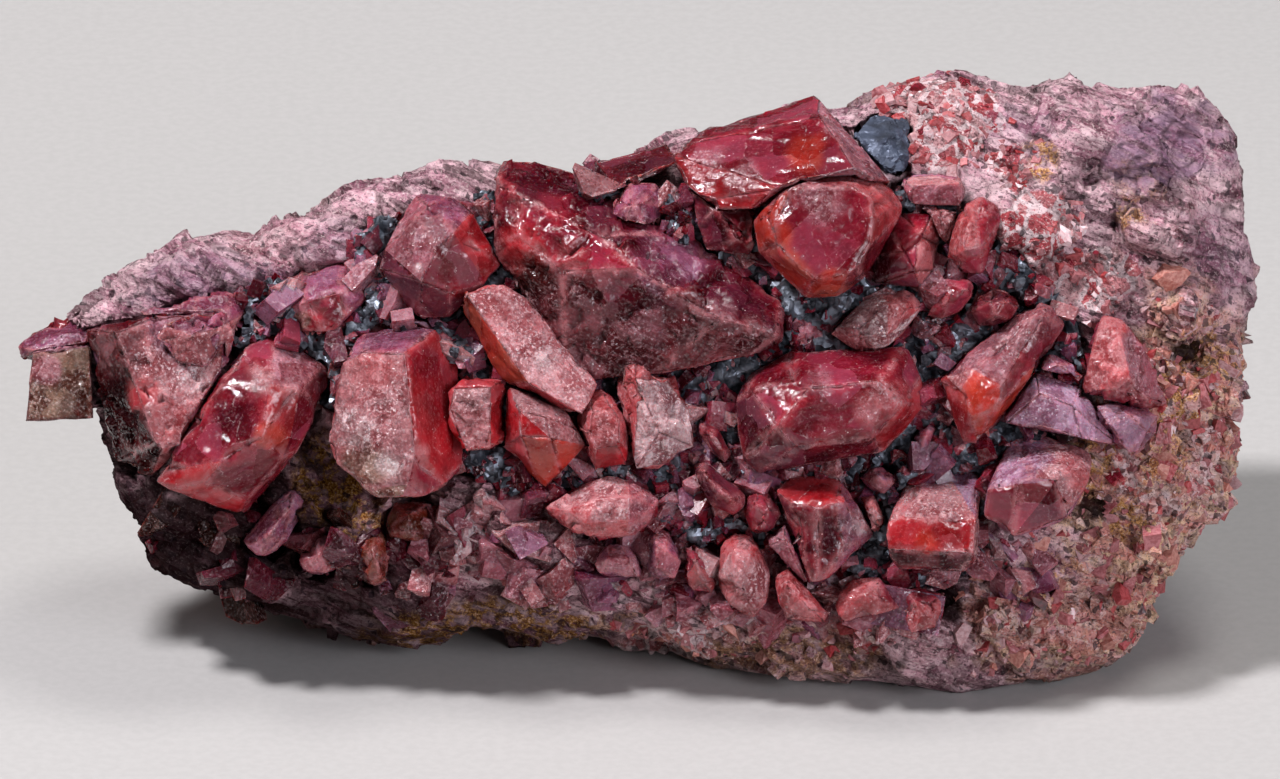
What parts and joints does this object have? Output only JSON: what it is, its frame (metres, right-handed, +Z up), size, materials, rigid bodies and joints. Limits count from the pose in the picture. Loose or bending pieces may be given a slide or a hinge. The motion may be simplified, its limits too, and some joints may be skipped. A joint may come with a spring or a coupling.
{
  "type": "rhodonite specimen",
  "caption": "Natural mineral specimen of blocky red crystals in grey galena on massive rose rhodonite, long and tapering, resting on a flat broken base.",
  "frame": {"origin": "middle of the flat base, under the middle of the specimen's box", "axes": "+X along the specimen from its thin end to its thick end, -Y out of the crystal-bearing face, +Z up"},
  "size_m": [0.1398, 0.0596, 0.063],
  "materials": {
    "massive_rhodonite": "granular, dull to satin, with ochre and brown stain",
    "galena": "metallic grey cleavage faces",
    "amber_rhodonite": "glassy, brown orange, translucent",
    "frosted_rhodonite": "frosted, pale salmon over red",
    "gem_rhodonite": "glassy, deep red, translucent",
    "magenta_rhodonite": "glassy, crimson, translucent",
    "mauve_rhodonite": "glassy with a violet sheen, dark red inside",
    "rose_rhodonite": "satin cleavage faces, dusty rose",
    "salmon_rhodonite": "satin, salmon red, translucent",
    "stepped_rhodonite": "striated, red",
    "tan_rhodonite": "satin, brownish pink",
    "violet_rhodonite": "satin with a violet sheen",
    "wine_rhodonite": "glassy, dark red, translucent"
  },
  "bodies": {
    "root": {"massive_rhodonite": "massive_rhodonite", "galena_fill": "galena", "galena_block": "galena", "great_crystal_lower_tier": "gem_rhodonite", "great_crystal_upper_tier": "gem_rhodonite", "striated_step": "wine_rhodonite", "central_crystal": "gem_rhodonite", "band_crystal": "mauve_rhodonite", "ruby_block": "gem_rhodonite", "tall_prism": "frosted_rhodonite", "split_fan_crystal": "gem_rhodonite", "left_slab": "rose_rhodonite", "pink_lath": "frosted_rhodonite", "long_red_prism": "gem_rhodonite", "striped_prism": "gem_rhodonite", "violet_block": "violet_rhodonite", "wine_prism": "gem_rhodonite", "red_lath": "gem_rhodonite", "salmon_block": "frosted_rhodonite", "crimson_side_crystal": "wine_rhodonite", "stepped_cube": "stepped_rhodonite", "grey_rose_crystal": "frosted_rhodonite", "salmon_bead": "salmon_rhodonite", "white_frosted_lath": "frosted_rhodonite", "lower_fan_crystal": "salmon_rhodonite", "salmon_wedge": "salmon_rhodonite", "lilac_slab": "violet_rhodonite", "lilac_chip": "violet_rhodonite", "grey_slab": "violet_rhodonite", "little_red_crystal": "gem_rhodonite", "pink_foot_crystal": "salmon_rhodonite", "pink_bar_crystal": "rose_rhodonite", "crimson_dart": "magenta_rhodonite", "crimson_chip": "magenta_rhodonite", "magenta_crystal": "magenta_rhodonite", "violet_nub": "mauve_rhodonite", "rose_panel_crystal": "rose_rhodonite", "tan_pillar": "frosted_rhodonite", "pink_pillar": "salmon_rhodonite", "lower_red_block": "salmon_rhodonite", "orange_block": "salmon_rhodonite", "striped_chip": "rose_rhodonite", "tan_lath": "frosted_rhodonite", "upper_left_lens": "mauve_rhodonite", "left_lobe": "rose_rhodonite", "end_slab": "mauve_rhodonite", "top_red_chip": "gem_rhodonite", "pale_chip": "frosted_rhodonite", "grey_bar": "violet_rhodonite", "violet_chip": "violet_rhodonite", "end_block": "tan_rhodonite", "purple_lath": "violet_rhodonite", "brown_corner_block": "rose_rhodonite", "amber_crystal": "amber_rhodonite", "amber_prism": "amber_rhodonite", "violet_rose_block": "rose_rhodonite", "rose_wedge": "rose_rhodonite", "pink_corner_block": "salmon_rhodonite"}
  },
  "joints": []
}
